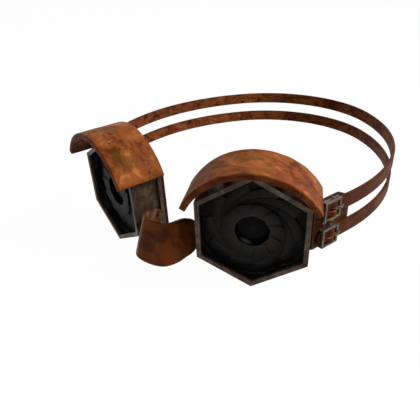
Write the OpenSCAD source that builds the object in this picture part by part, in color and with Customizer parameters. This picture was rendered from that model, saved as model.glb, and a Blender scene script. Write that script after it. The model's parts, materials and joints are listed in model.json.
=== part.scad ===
// Steampunk goggles: two hexagonal steel eye cups with leather hoods and working irises,
// a leather nose bridge, and two straps that buckle at the wearer's side.
// Front of the goggles faces -Y, the head is at +Y, +Z is up.
// The origin lies midway between the centres of the two front faces.

/* [Eye cups] */
// Distance across the flats of a hexagonal cup
cup_flats = 59.4; // [58.6:0.2:64]
// Depth of a cup from its front face to the face of its rear flange
cup_depth = 18.8; // [18:0.2:24]
// Thickness of the cup's wall
cup_wall = 1.3; // [1:0.1:1.5]
// Half of the distance between the centres of the two front faces
cup_offset = 48.5; // [46:0.5:54]
// Angle at which each cup turns outwards
cup_yaw = 21.4; // [16:0.2:24]
// Angle at which the front faces lean down
cup_pitch = 2; // [0:0.5:4]
// Width of the rim round the front opening
rim_width = 2.6; // [1.5:0.1:3]
// Thickness of the rim
rim_depth = 2; // [1.5:0.1:2.2]
// How far the rear flange stands out from the wall
flange_out = 1.6; // [1:0.1:2.5]
// Thickness of the rear flange
flange_depth = 2.2; // [1.5:0.1:2.4]
// Thickness of the leather face gasket
gasket_depth = 2.2; // [1.5:0.1:4]

/* [Iris] */
// Radius of the circle on which the blade pivots stand
pivot_circle = 26.2; // [26:0.05:26.4]
// Radius of the fully open iris, which is also the curve of a blade's inner edge
open_radius = 20; // [19:0.1:20]
// Radius of a blade's outer edge
blade_outer = 27.3; // [26:0.1:27.5]
// Angle of the blade's free end, seen from the cup's centre when the iris is open
blade_span = 96; // [90:1:98]
// Thickness of a blade
blade_thick = 0.12; // [0.08:0.01:0.14]
// Slope of a blade, from its pivot up to its tip
blade_tilt = 5.7; // [5.4:0.1:6.2]
// Angle through which a blade has turned at rest, counted from fully open
blade_rest = 24; // [12:1:30]
// Radius of a pivot stud
pivot_r = 0.7; // [0.5:0.05:0.8]
// Radius of a drive stud
drive_r = 0.6; // [0.45:0.05:0.7]
// Radial running clearance of studs and rings
run_clear = 0.05; // [0.02:0.01:0.1]
// Thickness of the cam ring
ring_thick = 1.5; // [1:0.1:1.6]
// Thickness of the iris base plate
plate_thick = 3; // [2.8:0.1:3.2]

/* [Lens] */
// Radius of the lens
lens_r = 24; // [23:0.1:24.5]
// Thickness of the lens at its edge
lens_edge = 1.9; // [1.6:0.1:2.1]
// Height of the lens's crown in front of its edge
lens_crown = 4.4; // [2:0.2:4.6]

/* [Hoods] */
// Gap between the hood's leather and the top corner of the cup
hood_gap = 2; // [1.2:0.1:4]
// Thickness of the hood's leather
hood_thick = 3.4; // [2:0.1:4]
// Angle from a hood's top to its end beside the strap
hood_outer_angle = 60.2; // [45:0.5:62]
// Angle from a hood's top to its end beside the nose
hood_inner_angle = 62.6; // [45:0.5:65]
// How far the hood stands out in front of the cup
hood_front = 9.1; // [4:0.1:14]
// How far the hood reaches past the back of the flange
hood_back = 0.7; // [0:0.1:4]

/* [Bridge] */
// Thickness of the bridge's leather
bridge_thick = 2; // [1.5:0.1:2.5]

/* [Straps] */
// Height of each strap
strap_height = 8.2; // [6:0.1:9]
// Thickness of the straps
strap_thick = 1.8; // [1.2:0.1:2]
// Height of the upper strap's centre line above the origin
upper_strap_z = 13.2; // [12.6:0.1:15]
// Height of the lower strap's centre line
lower_strap_z = -2.5; // [-5:0.1:-2]
// Radius of the strap at the sides of the head
side_radius = 127; // [124:1:130]
// Radius of the strap round the back of the head
back_radius = 78.6; // [77:0.2:80]
// Angle between the strap and the head's front-to-back line where it meets the tab
strap_angle = 19.5; // [19:0.1:20]
// Distance from the middle of the head to the bend where a strap leaves its tab
bend_x = 86.2; // [85.5:0.1:87]
// Distance of that bend behind the front faces
bend_y = 40.6; // [40:0.1:41.5]
// Thickness of the side tabs' leather
tab_thick = 2; // [1.5:0.1:2.4]
// Thickness of the folded steel brackets
bracket_thick = 1.2; // [0.8:0.1:1.4]

/* [Buckles] */
// Outer length of a buckle frame along the strap
buckle_length = 12; // [11.6:0.1:12.4]
// Thickness of the buckle's bars
buckle_bar = 1.1; // [1:0.1:1.3]
// Radius of the buckle's centre pin
buckle_pin_r = 0.4; // [0.35:0.05:0.45]

/* [Hidden] */
$fn = 64;
SIDES = ["right", "left"];
N_BLADES = 10;

// Small gap between parts that are pressed or seated together
seat_gap = 0.05;
cup_in = cup_flats / 2;
inner_in = cup_in - cup_wall;
corner_factor = 1 / cos(30);

// Depths behind the front face, from front to back
pivot_depth = 6.6;
plate_front = pivot_depth + 0.35;
plate_back = plate_front + plate_thick;
ring_front = plate_front + seat_gap;
ring_back = ring_front + ring_thick;
retainer_thick = 1;
cell_back = plate_back + lens_edge + retainer_thick + 3 * seat_gap;
screw_depth = (plate_back + cell_back) / 2;
lens_gap = 0.15;
hood_depth = cup_depth + hood_back;

// Posts behind the rim's corners: wall at the rim, and depth at which they fill the corner
post_wall = 0.8;
post_step = 5;

// Iris values
cam_outer = pivot_circle - pivot_r - run_clear - 0.75;
cam_inner = open_radius + 0.6;
ear_r = 1.8;
step_angle = 360 / N_BLADES;
blade_ratio = 3;
tilt_heading = 150;
drive_start = [23.7, 9];
lever_angle = -62.2;
lever_width = 2.4;
lever_out = 3.4;
open_turn = 8;
closed_turn = 4;
half_turn = (open_turn + closed_turn) / 2;
lever_mid = lever_angle + (open_turn - closed_turn) / 2;
lever_slot_half = cup_in * tan(half_turn) + lever_width / 2 + 0.5;
arm_half = 3.4;
arm_thick = ring_thick - 0.6;

// Thin arc on the cam ring that keeps the lever's slot covered wherever the ring stands
cover_thick = 0.6;
cover_outer = inner_in - 0.3;
cover_half = atan(lever_slot_half / inner_in) + half_turn + 0.5;

// Strap and tab values
tan_point = [bend_x, bend_y];
run_dir = [sin(strap_angle), cos(strap_angle)];
out_dir = [cos(strap_angle), -sin(strap_angle)];
tab_face = -strap_thick / 2;
leg_centre = tab_face - tab_thick - bracket_thick / 2;
wall_dir = [-sin(cup_yaw), cos(cup_yaw)];
wall_point = [cup_offset + (cup_in + bracket_thick / 2) * cos(cup_yaw),
              (cup_in + bracket_thick / 2) * sin(cup_yaw)];
leg_point = tan_point + leg_centre * out_dir;
fold_run = cross2(leg_point - wall_point, wall_dir) / cross2(run_dir, wall_dir);
fold_point = leg_point - fold_run * run_dir;
fold_depth = (fold_point - wall_point) * wall_dir;
leg_height = 22;
leg_mid_z = (upper_strap_z + lower_strap_z) / 2;
tab_front = -fold_run;

// Buckle values, in the tab's own frame: x runs back along the strap, z points outwards
bar_front_x = -23.9;
bar_back_x = bar_front_x + buckle_length;
pin_x = -16.4;
chape_thick = 0.5;
pin_z = tab_face + seat_gap + chape_thick + run_clear + buckle_pin_r;
bar_under = strap_thick / 2 + 0.35;
window_half = strap_height / 2 + 0.25;
frame_half = window_half + buckle_bar;
hump = pin_z + buckle_pin_r + run_clear + chape_thick + seat_gap + strap_thick / 2;
tail_x = -25.6;
tail_corner = 3.2;
left_end_x = -24;
prong_slot = [-20.2, 7.1, 2.4];
tab_back = -0.3;

// Bridge values
bridge_hole_v = [-7.5, -13];
foot_front = 11.8;
foot_back = cup_depth - flange_depth - 0.3;

function cross2(a, b) = a[0] * b[1] - a[1] * b[0];
function polar(r, a) = [r * cos(a), r * sin(a)];
function spin(p, a) = [p[0] * cos(a) - p[1] * sin(a), p[0] * sin(a) + p[1] * cos(a)];

// A point of the right cup, given across, back and up, in the part's own frame
function cup_pt(u, d, v) =
  let (y = d * cos(cup_pitch) - v * sin(cup_pitch), z = d * sin(cup_pitch) + v * cos(cup_pitch))
  [cup_offset + u * cos(cup_yaw) - y * sin(cup_yaw), u * sin(cup_yaw) + y * cos(cup_yaw), z];

// Corner of an outline turned into an arc of short steps
function round_corner(a, b, c, r) =
  let (p = (a - b) / norm(a - b), q = (c - b) / norm(c - b),
       half = acos(p * q) / 2, back = r / tan(half),
       centre = b + (p + q) / norm(p + q) * r / sin(half),
       s = b + p * back - centre, e = b + q * back - centre)
  [for (i = [0:6]) let (m = s * (1 - i / 6) + e * (i / 6)) centre + m / norm(m) * r];
function rounded(pts, r) = [for (i = [0:len(pts) - 1])
  each round_corner(pts[(i + len(pts) - 1) % len(pts)], pts[i], pts[(i + 1) % len(pts)], r)];

// Cup frame: x across, y up, z towards the front, with depth counted back from the face
module right_cup() {
  translate([cup_offset, 0, 0]) rotate([cup_pitch, 0, cup_yaw]) rotate([90, 0, 0]) children();
}
module cup(side) {
  if (side == "right") right_cup() children();
  else mirror([1, 0, 0]) right_cup() children();
}
module on_side(side) {
  if (side == "right") children();
  else mirror([1, 0, 0]) children();
}
module slab(front, back) {
  translate([0, 0, -back]) linear_extrude(height = back - front) children();
}
module hexagon(inradius) {
  rotate(30) circle(r = inradius * corner_factor, $fn = 6);
}
// A screw or hole that points at the cup's axis from a wall, at a given angle and depth
module from_wall(angle, depth, across) {
  translate([0, 0, -depth]) rotate([0, 0, angle]) translate([0, across, 0]) rotate([0, 90, 0]) children();
}

// Places of the screws: angle of the wall, and offset along the wall
BRIDGE_HOLES = [for (v = bridge_hole_v) [180, -v]];
BRACKET_HOLES = [[0, leg_mid_z - 8], [0, leg_mid_z + 8]];
HOOD_HOLES = [[60, 0], [120, 0]];
screw_r = 1;
screw_tip = lens_r + 1.6;
bridge_head_r = 1.5;
bridge_head_thick = 0.9;
bridge_inner_head = 0.7;
hood_head_r = 1.9;
hood_head_thick = 1;
hood_head_sink = 1.3;
bracket_head_r = 1.8;
bracket_head_thick = 0.9;
head_pocket_r = 2.1;
bridge_rivet_depth = cell_back + bridge_head_r + 0.15;

module housing(side) {
  color("dimgray") cup(side) difference() {
    union() {
      slab(rim_depth + seat_gap, cup_depth) hexagon(cup_in);
      slab(cup_depth - flange_depth, cup_depth) hexagon(cup_in + flange_out);
    }
    slab(0, cup_depth + 1) hexagon(inner_in);
    for (h = concat(BRACKET_HOLES, HOOD_HOLES)) from_wall(h[0], screw_depth, h[1])
      translate([0, 0, inner_in - 1]) cylinder(r = screw_r + run_clear, h = cup_wall + 2);
    for (h = BRIDGE_HOLES) from_wall(h[0], bridge_rivet_depth, h[1])
      translate([0, 0, inner_in - 1]) cylinder(r = screw_r + run_clear, h = cup_wall + 2);
    lever_slot();
  }
}
module lever_slot() {
  rotate([0, 0, lever_mid]) translate([inner_in - 1, -lever_slot_half, -ring_back - 0.15])
    cube([cup_wall + 3, 2 * lever_slot_half, arm_thick + 0.3]);
}

// Ring inside the cup that holds the lens; the screws of the hood and the bracket end in it
module lens_cell(side) {
  color("dimgray") cup(side) difference() {
    slab(plate_back + seat_gap, cell_back) hexagon(inner_in - seat_gap);
    slab(plate_back - 1, cell_back + 1) circle(r = lens_r + lens_gap);
    for (h = concat(BRACKET_HOLES, HOOD_HOLES)) from_wall(h[0], screw_depth, h[1])
      translate([0, 0, screw_tip - 0.3]) cylinder(r = screw_r + run_clear, h = cup_in - screw_tip);
  }
}

// Outline of the posts behind the rim's corners, less the child
module post_outline() {
  difference() {
    hexagon(inner_in - seat_gap);
    circle(r = pivot_circle + ear_r + 0.2);
    for (a = [0:60:300]) rotate(a) translate([inner_in, 0]) square([4, 8], center = true);
    children();
  }
}

module bezel(side) {
  color("gray") cup(side) {
    slab(0, rim_depth) difference() {
      hexagon(cup_in);
      hexagon(cup_in - rim_width);
    }
    slab(rim_depth - 0.2, post_step + 0.2) post_outline() hexagon(inner_in - seat_gap - post_wall);
    slab(post_step, plate_front - seat_gap) post_outline() circle(r = pivot_circle);
  }
}

function sector(middle, half) = [[0, 0], polar(cup_flats, middle - half), polar(cup_flats, middle + half)];
module base_plate(side) {
  color("#2b2b2b") cup(side) difference() {
    slab(plate_front, plate_back) hexagon(inner_in - seat_gap);
    slab(plate_front - 1, plate_back + 1) circle(r = open_radius + 0.2);
    slab(plate_front - 1, ring_back + seat_gap) circle(r = cam_outer + run_clear);
    for (i = [0:N_BLADES - 1]) translate(concat(polar(pivot_circle, pivot_angle(i)), -plate_back - 1))
      cylinder(r = pivot_r + run_clear, h = plate_thick + 2);
    slab(plate_front - 1, ring_back + seat_gap + 0.1) {
      polygon(sector(lever_mid, half_turn + arm_half));
      difference() {
        polygon(sector(lever_mid, half_turn + cover_half + 0.4));
        circle(r = cover_outer - cover_thick - run_clear);
      }
    }
  }
}
function pivot_angle(i) = lever_mid + step_angle / 2 + i * step_angle;

// Path of a drive stud and its slot in the turning cam ring
function blade_turn(p, a) = spin(p - [pivot_circle, 0], a) + [pivot_circle, 0];
function drive_at(a) = blade_turn(polar(drive_start[0], drive_start[1]), a);
function slot_at(a) = spin(drive_at(a), (a - blade_rest) / blade_ratio);
slot_from = blade_rest - blade_ratio * open_turn - 1;
slot_to = blade_rest + blade_ratio * closed_turn + 1;
function slot_side(a, off) =
  let (d = slot_at(a + 0.5) - slot_at(a - 0.5)) slot_at(a) + off * [-d[1], d[0]] / norm(d);

module cam_slot() {
  r = drive_r + run_clear;
  steps = [for (i = [0:12]) slot_from + (slot_to - slot_from) * i / 12];
  back = [for (i = [12:-1:0]) steps[i]];
  polygon(concat([for (a = steps) slot_side(a, r)], [for (a = back) slot_side(a, -r)]));
  for (a = [slot_from, slot_to]) translate(slot_at(a)) circle(r = r);
}
module cam_ring(side) {
  color("#8a6a35") cup(side) {
    slab(ring_front, ring_back) difference() {
      circle(r = cam_outer);
      circle(r = cam_inner);
      for (i = [0:N_BLADES - 1]) rotate(pivot_angle(i)) cam_slot();
    }
    slab(ring_front, ring_back) intersection() {
      polygon(sector(lever_angle, cover_half));
      difference() {
        circle(r = cover_outer);
        circle(r = cover_outer - cover_thick);
      }
    }
    rotate([0, 0, lever_angle]) {
      translate([cam_outer - 0.5, -lever_width / 2, -ring_back])
        cube([cup_in + 2 - cam_outer, lever_width, arm_thick]);
      translate([cup_in + 0.8, -lever_width, -ring_back - 4.5])
        cube([lever_out - 0.8, 2 * lever_width, ring_thick + 4.5]);
    }
  }
}

// Iris blade: a curved plate that turns on one stud and is pushed by the other
module blade_outline() {
  difference() {
    polygon(concat(
      [for (i = [0:24]) polar(blade_outer, -4 + (blade_span + 4) * i / 24)],
      [for (i = [24:-1:0]) polar(open_radius, -4 + (blade_span + 4) * i / 24)]));
    translate(polar(blade_outer, blade_span)) circle(r = 1.2);
  }
  translate([pivot_circle, 0]) circle(r = ear_r);
}
module iris_blade(side, i) {
  color("#242424") cup(side) rotate([0, 0, pivot_angle(i)]) translate([pivot_circle, 0, -pivot_depth])
    rotate([0, 0, blade_rest]) {
      rotate([0, 0, tilt_heading]) rotate([0, -blade_tilt, 0]) rotate([0, 0, -tilt_heading])
        linear_extrude(height = blade_thick) translate([-pivot_circle, 0]) blade_outline();
      stud = plate_back - pivot_depth - 0.5;
      translate([0, 0, -stud]) cylinder(r = pivot_r, h = stud + 0.06);
      drive = ring_back - pivot_depth - seat_gap;
      translate(concat(polar(drive_start[0], drive_start[1]) - [pivot_circle, 0], -drive))
        cylinder(r = drive_r, h = drive + drive_height() + 0.06);
    }
}
// Height of the blade above its pivot, at the drive stud
function drive_height() =
  let (p = polar(drive_start[0], drive_start[1]) - [pivot_circle, 0])
  (p * [cos(tilt_heading), sin(tilt_heading)]) * tan(blade_tilt);

module lens(side) {
  base_r = open_radius - 0.2;
  ball = (base_r * base_r + lens_crown * lens_crown) / (2 * lens_crown);
  color("black", 0.6) cup(side) {
    slab(plate_back + seat_gap, plate_back + seat_gap + lens_edge) circle(r = lens_r);
    translate([0, 0, -plate_back - seat_gap]) rotate_extrude() intersection() {
      translate([0, lens_crown - ball]) circle(r = ball, $fn = 180);
      translate([0, -0.5]) square([base_r, lens_crown + 1]);
    }
  }
}
module lens_retainer(side) {
  color("#6e5a3a") cup(side) slab(cell_back - retainer_thick - seat_gap, cell_back - seat_gap) difference() {
    circle(r = lens_r + lens_gap - seat_gap);
    circle(r = lens_r - 2.6);
  }
}
module face_gasket(side) {
  color("#4a2216") cup(side) slab(cup_depth, cup_depth + gasket_depth) difference() {
    hexagon(cup_in + flange_out - 0.4);
    hexagon(inner_in - 0.4);
  }
}

// Hood: an arched sheet of leather on a steel former that stands on the upper walls
hood_in = cup_in * corner_factor + hood_gap;
former_thick = 0.8;
former_front = screw_depth - 5;
former_back = screw_depth + 4;
former_angle = 36;
head_seat = hood_in - seat_gap - hood_head_sink;
module arch(inner, outer, to_outside, to_nose) {
  far = 3 * outer;
  intersection() {
    difference() {
      circle(r = outer, $fn = 128);
      circle(r = inner, $fn = 128);
    }
    polygon([[0, 0], polar(far, 90 - to_outside), [far / 2, far], [-far / 2, far], polar(far, 90 + to_nose)]);
  }
}
module hood(side) {
  color("#9a4f22") cup(side) slab(-hood_front, hood_depth)
    arch(hood_in, hood_in + hood_thick, hood_outer_angle, hood_inner_angle);
}
module hood_former(side) {
  boss_r = 3;
  color("dimgray") cup(side) difference() {
    union() {
      slab(former_front, former_back)
        arch(hood_in - seat_gap - former_thick, hood_in - seat_gap, former_angle, former_angle);
      for (h = HOOD_HOLES) from_wall(h[0], screw_depth, 0) translate([0, 0, cup_in])
        cylinder(r = boss_r, h = hood_in - cup_in - 0.5);
    }
    for (h = HOOD_HOLES) from_wall(h[0], screw_depth, 0) {
      translate([0, 0, cup_in - 1]) cylinder(r = screw_r + run_clear, h = hood_in - cup_in + 1);
      translate([0, 0, head_seat]) cylinder(r = head_pocket_r, h = hood_head_sink + hood_thick);
    }
  }
}
module hood_screws() {
  color("silver") for (s = SIDES) cup(s) for (h = HOOD_HOLES) from_wall(h[0], screw_depth, 0) {
    translate([0, 0, screw_tip]) cylinder(r = screw_r, h = head_seat - screw_tip + 0.2);
    translate([0, 0, head_seat]) cylinder(r = hood_head_r, h = hood_head_thick);
  }
}

// Nose bridge: a flared leather band, worked out at stations from the centre to the foot
TOP_EDGE = [[0, -16.8, 2.2], [7, -16.4, 3.4], [10.2, -12.4, 3.9], [10.2, -6.2, 2.2], [12.4, -1.6, 0]];
LOW_EDGE = [[0, -25, -20], [8.6, -24.4, -19], [13, -19.4, -18.4], [14.8, -12.6, -17.9], [16, -7.8, -17.2]];
foot_u = -cup_in - bridge_thick / 2 - seat_gap;
foot_top = [cup_pt(foot_u, foot_front, -3.2), cup_pt(foot_u, foot_back, -4)];
foot_low = [cup_pt(foot_u, foot_front, -16.6), cup_pt(foot_u, foot_back, -16.4)];
function mirror_x(p) = [-p[0], p[1], p[2]];
function curve_at(p, t) =
  let (i = min(floor(t), len(p) - 2), f = t - i,
       a = i > 0 ? p[i - 1] : mirror_x(p[1]), b = p[i], c = p[i + 1],
       d = i + 2 < len(p) ? p[i + 2] : 2 * c - b)
  0.5 * ((2 * b) + (c - a) * f + (2 * a - 5 * b + 4 * c - d) * f * f
    + (3 * b - a - 3 * c + d) * f * f * f);
bridge_steps = 20;
function half_edge(edge, foot) =
  let (pts = concat(edge, [foot[0]]), last = len(pts) - 1)
  concat([for (i = [0:bridge_steps]) curve_at(pts, last * i / bridge_steps)], [foot[1]]);
function whole_edge(half) =
  concat([for (i = [len(half) - 1:-1:1]) mirror_x(half[i])], half);
function plan_normal(e, i) =
  let (n = len(e) - 1, foot = [cos(cup_yaw), sin(cup_yaw), 0],
       d = e[min(i + 1, n)] - e[max(i - 1, 0)], v = [d[1], -d[0], 0])
  i >= n - 1 ? foot : i <= 1 ? mirror_x(foot) : v / norm(v);
module nose_bridge_sheet() {
  top = whole_edge(half_edge(TOP_EDGE, foot_top));
  low = whole_edge(half_edge(LOW_EDGE, foot_low));
  n = len(top);
  t = bridge_thick / 2;
  pts = [for (i = [0:n - 1]) each [top[i] + t * plan_normal(top, i), low[i] + t * plan_normal(low, i),
    low[i] - t * plan_normal(low, i), top[i] - t * plan_normal(top, i)]];
  sides = [for (i = [0:n - 2]) for (k = [0:3]) let (a = 4 * i + k, b = 4 * i + (k + 1) % 4)
    each [[a, b, b + 4], [a, b + 4, a + 4]]];
  ends = [[2, 1, 0], [3, 2, 0], [4 * n - 4, 4 * n - 3, 4 * n - 2], [4 * n - 4, 4 * n - 2, 4 * n - 1]];
  polyhedron(points = pts, faces = concat(sides, ends));
}
module nose_bridge() {
  color("#6b3417") difference() {
    nose_bridge_sheet();
    for (s = SIDES) cup(s) for (h = BRIDGE_HOLES)
      from_wall(h[0], bridge_rivet_depth, h[1]) translate([0, 0, cup_in - 2])
        cylinder(r = screw_r + run_clear, h = bridge_thick + 4);
  }
}
module bridge_rivets() {
  face = cup_in + bridge_thick + 2 * seat_gap;
  color("silver") for (s = SIDES) cup(s) for (h = BRIDGE_HOLES) from_wall(h[0], bridge_rivet_depth, h[1]) {
    translate([0, 0, inner_in - seat_gap - bridge_inner_head])
      cylinder(r = bridge_head_r, h = bridge_inner_head);
    translate([0, 0, inner_in - seat_gap - 0.5]) cylinder(r = screw_r, h = face - inner_in + 0.8);
    translate([0, 0, face]) cylinder(r = bridge_head_r, h = bridge_head_thick);
  }
}
module bracket_screws() {
  face = cup_in + bracket_thick + seat_gap;
  color("silver") for (s = SIDES) cup(s) for (h = BRACKET_HOLES) from_wall(h[0], screw_depth, h[1]) {
    translate([0, 0, screw_tip]) cylinder(r = screw_r, h = face - screw_tip + 0.3);
    translate([0, 0, face]) cylinder(r = bracket_head_r, h = bracket_head_thick);
  }
}

// Side bracket: a folded steel plate, one leg on the cup's wall and one under the tab
module tab_frame(z = 0) {
  translate([tan_point[0], tan_point[1], z]) rotate([90, 0, 90 - strap_angle]) children();
}
function bracket_outline(fold, t, wall_leg, tab_leg) =
  let (wall_out = polar(1, cup_yaw), between = acos(wall_dir * run_dir) / 2,
       middle = (wall_dir + run_dir) / norm(wall_dir + run_dir), face = t - seat_gap)
  concat([fold + wall_leg * wall_dir - face * wall_out],
    [for (i = [0:4]) fold + polar(face, 180 + cup_yaw + (180 - cup_yaw - strap_angle) * i / 4)],
    [fold + tab_leg * run_dir + face * out_dir, fold + tab_leg * run_dir - t * out_dir,
     fold + t / sin(between) * middle, fold + wall_leg * wall_dir + t * wall_out]);
module side_bracket(side) {
  wall_leg = cup_depth - flange_depth - 1.2 - fold_depth;
  color("dimgray") on_side(side) difference() {
    translate([0, 0, leg_mid_z - leg_height / 2]) linear_extrude(height = leg_height)
      polygon(bracket_outline(fold_point, bracket_thick / 2, wall_leg, fold_run - 6));
    right_cup() for (h = BRACKET_HOLES) from_wall(h[0], screw_depth, h[1])
      translate([0, 0, cup_in - 1]) cylinder(r = screw_r + run_clear, h = bracket_thick + 3);
    right_cup() for (h = BRACKET_HOLES) from_wall(h[0], screw_depth, h[1])
      translate([0, 0, cup_in + bracket_thick + seat_gap])
        cylinder(r = head_pocket_r, h = bracket_head_thick + 0.4);
    tab_frame() for (x = TAB_HOLES) translate([x, leg_mid_z, leg_centre - 5])
      cylinder(r = rivet_r + run_clear, h = 10);
    if (side == "left") tab_frame() for (p = STRAP_HOLES) translate([p[0], p[1], leg_centre - 5])
      cylinder(r = rivet_r + run_clear, h = 10);
  }
}
rivet_r = 0.8;
rivet_head_r = 1.5;
rivet_head_thick = 0.7;
TAB_HOLES = [-20.5, -14.5];
STRAP_HOLES = [for (z = [upper_strap_z, lower_strap_z]) for (x = [-20.5, -13.5]) [x, z]];

module side_tab(side) {
  top = upper_strap_z + strap_height / 2 + 1.4;
  low = lower_strap_z - strap_height / 2 - 2.2;
  outline = [[tab_front - 1, low], [tab_back - 10.7, low], [tab_back, lower_strap_z - 1.5],
    [tab_back, upper_strap_z + 1], [tab_back - 8.7, top], [tab_front + 2, top], [tab_front - 1, top - 2.5]];
  color("#7a3c1a") on_side(side) tab_frame() translate([0, 0, tab_face - tab_thick]) difference() {
    linear_extrude(height = tab_thick - seat_gap) polygon(rounded(outline, 1.6));
    for (x = TAB_HOLES) translate([x, leg_mid_z, -1]) cylinder(r = rivet_r + run_clear, h = 5);
    if (side == "left") for (p = STRAP_HOLES) translate([p[0], p[1], -1])
      cylinder(r = rivet_r + run_clear, h = 5);
  }
}
module rivet(places, face) {
  back = leg_centre - bracket_thick / 2 - seat_gap;
  for (p = places) translate([p[0], p[1], 0]) {
    translate([0, 0, back - 0.5]) cylinder(r = rivet_r, h = face + 0.5 - back + 0.2);
    translate([0, 0, back - rivet_head_thick]) cylinder(r = rivet_head_r, h = rivet_head_thick);
    translate([0, 0, face + seat_gap]) cylinder(r = rivet_head_r, h = rivet_head_thick);
  }
}
module tab_rivets() {
  color("#8a6a35") for (s = SIDES) on_side(s) tab_frame()
    rivet([for (x = TAB_HOLES) [x, leg_mid_z]], tab_face);
}
module strap_rivets() {
  color("#8a6a35") on_side("left") tab_frame() rivet(STRAP_HOLES, -tab_face);
}

// Strap: a loop of two side arcs and a back arc, with a hump over the buckle's centre pin
HUMP = [[tail_x, 0], [-22, 0.02], [-19.6, 0.4], [-17.6, 0.94], [-16.4, 1], [-15.5, 0.94], [-14.4, 0.5],
  [-13.1, 0.08], [-11.5, 0]];
side_centre = tan_point - side_radius * out_dir;
back_centre_y = side_centre[1] + sqrt(pow(side_radius - back_radius, 2) - pow(side_centre[0], 2));
join_angle = atan2(back_centre_y - side_centre[1], -side_centre[0]);
function on_tab(x, z) = tan_point + x * run_dir + z * out_dir;
function right_half(off) = concat(
  [for (a = [-strap_angle + 0.01:(join_angle + strap_angle) / 16:join_angle - 0.01])
    side_centre + polar(side_radius + off, a)],
  [for (i = [0:7]) [0, back_centre_y] + polar(back_radius + off, join_angle + (90 - join_angle) * i / 8)]);
function flip(p) = [-p[0], p[1]];
function loop_pts(off) = let (half = right_half(off), n = len(half)) concat(
  [for (h = HUMP) on_tab(h[0], off + hump * h[1])], half, [[0, back_centre_y + back_radius + off]],
  [for (i = [n - 1:-1:0]) flip(half[i])], [flip(on_tab(left_end_x, off))]);
function backwards(p) = [for (i = [len(p) - 1:-1:0]) p[i]];
module strap(z) {
  low = z - strap_height / 2;
  color("#8b4a20") difference() {
    translate([0, 0, low]) linear_extrude(height = strap_height)
      polygon(concat(loop_pts(strap_thick / 2), backwards(loop_pts(-strap_thick / 2))));
    tab_frame(z) {
      translate([prong_slot[0], -prong_slot[2] / 2, -3]) cube([prong_slot[1], prong_slot[2], 9]);
      for (k = [-1, 1]) translate([tail_x, k * strap_height / 2, -3]) rotate([0, 0, 45])
        cube([tail_corner, tail_corner, 9], center = true);
    }
    on_side("left") tab_frame() for (p = STRAP_HOLES) translate([p[0], p[1], -2])
      cylinder(r = rivet_r + run_clear, h = 5);
  }
}

// Buckle: a frame on a centre pin, with a prong that hinges on the pin
function buckle_z(level) = level == "upper" ? upper_strap_z : lower_strap_z;
module buckle_frame(level) {
  top = bar_under + buckle_bar;
  rail_low = tab_face + 0.5;
  color("silver") tab_frame(buckle_z(level)) difference() {
    union() {
      for (k = [-1, 1]) translate([bar_front_x, k * (window_half + buckle_bar / 2) - buckle_bar / 2, rail_low])
        cube([buckle_length, buckle_bar, top - rail_low]);
      for (x = [bar_front_x, bar_back_x - buckle_bar]) translate([x, -frame_half, bar_under])
        cube([buckle_bar, 2 * frame_half, buckle_bar]);
    }
    translate([pin_x, frame_half + 1, pin_z]) rotate([90, 0, 0])
      cylinder(r = buckle_pin_r + run_clear, h = 2 * frame_half + 2);
  }
}
module buckle_pin(level) {
  reach = frame_half + 0.5;
  color("silver") tab_frame(buckle_z(level)) translate([pin_x, 0, pin_z]) rotate([90, 0, 0]) {
    cylinder(r = buckle_pin_r, h = 2 * reach, center = true);
    for (k = [-1, 1]) translate([0, 0, k * (reach - 0.2)])
      cylinder(r = buckle_pin_r + 0.35, h = 0.5, center = true);
  }
}
prong_width = 1.6;
module prong(level) {
  bar_top = bar_under + buckle_bar + seat_gap;
  tip_x = bar_back_x + 1.4;
  side_view = [[pin_x + 0.3, pin_z - 0.5], [pin_x + 0.9, pin_z], [-14.2, bar_top - 0.3],
    [-13.3, bar_top], [tip_x, bar_top], [tip_x, bar_top + 0.5], [-13.2, bar_top + 0.8],
    [-15, bar_top + 0.2], [pin_x - 0.2, pin_z + 0.85]];
  color("silver") tab_frame(buckle_z(level)) difference() {
    union() {
      translate([pin_x, 0, pin_z]) rotate([90, 0, 0])
        cylinder(r = buckle_pin_r + run_clear + 0.5, h = prong_width, center = true);
      rotate([90, 0, 0]) linear_extrude(height = prong_width, center = true) polygon(side_view);
    }
    translate([pin_x, 0, pin_z]) rotate([90, 0, 0])
      cylinder(r = buckle_pin_r + run_clear, h = 3 * prong_width, center = true);
  }
}
module chape(level) {
  inner_y = prong_width / 2 + 0.3;
  outer_y = strap_height / 2 - 0.5;
  color("#5e2d14") tab_frame(buckle_z(level)) difference() {
    union() {
      for (k = [-1, 1]) translate([pin_x, k * (inner_y + outer_y) / 2, pin_z]) rotate([90, 0, 0])
        cylinder(r = buckle_pin_r + run_clear + chape_thick, h = outer_y - inner_y, center = true);
      translate([pin_x - 2.6, -outer_y, tab_face + seat_gap]) cube([2.6, 2 * outer_y, chape_thick]);
    }
    translate([pin_x - 1.3, -inner_y, tab_face - 1]) cube([4, 2 * inner_y, 4]);
    translate([pin_x, 0, pin_z]) rotate([90, 0, 0])
      cylinder(r = buckle_pin_r + run_clear, h = 2 * strap_height, center = true);
  }
}

nose_bridge();
bridge_rivets();
hood_screws();
bracket_screws();
tab_rivets();
strap_rivets();
strap(upper_strap_z);  // upper_strap
strap(lower_strap_z);  // lower_strap
buckle_frame("upper");  // buckle_frame_upper
buckle_frame("lower");  // buckle_frame_lower
buckle_pin("upper");  // buckle_pin_upper
buckle_pin("lower");  // buckle_pin_lower
prong("upper");  // prong_upper
prong("lower");  // prong_lower
chape("upper");  // chape_upper
chape("lower");  // chape_lower
for (s = SIDES) {
  housing(s);
  bezel(s);
  lens_cell(s);
  base_plate(s);
  cam_ring(s);
  lens(s);
  lens_retainer(s);
  face_gasket(s);
  hood(s);
  hood_former(s);
  side_bracket(s);
  side_tab(s);
  for (i = [1:N_BLADES])
    iris_blade(s, i - 1);
}
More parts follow.
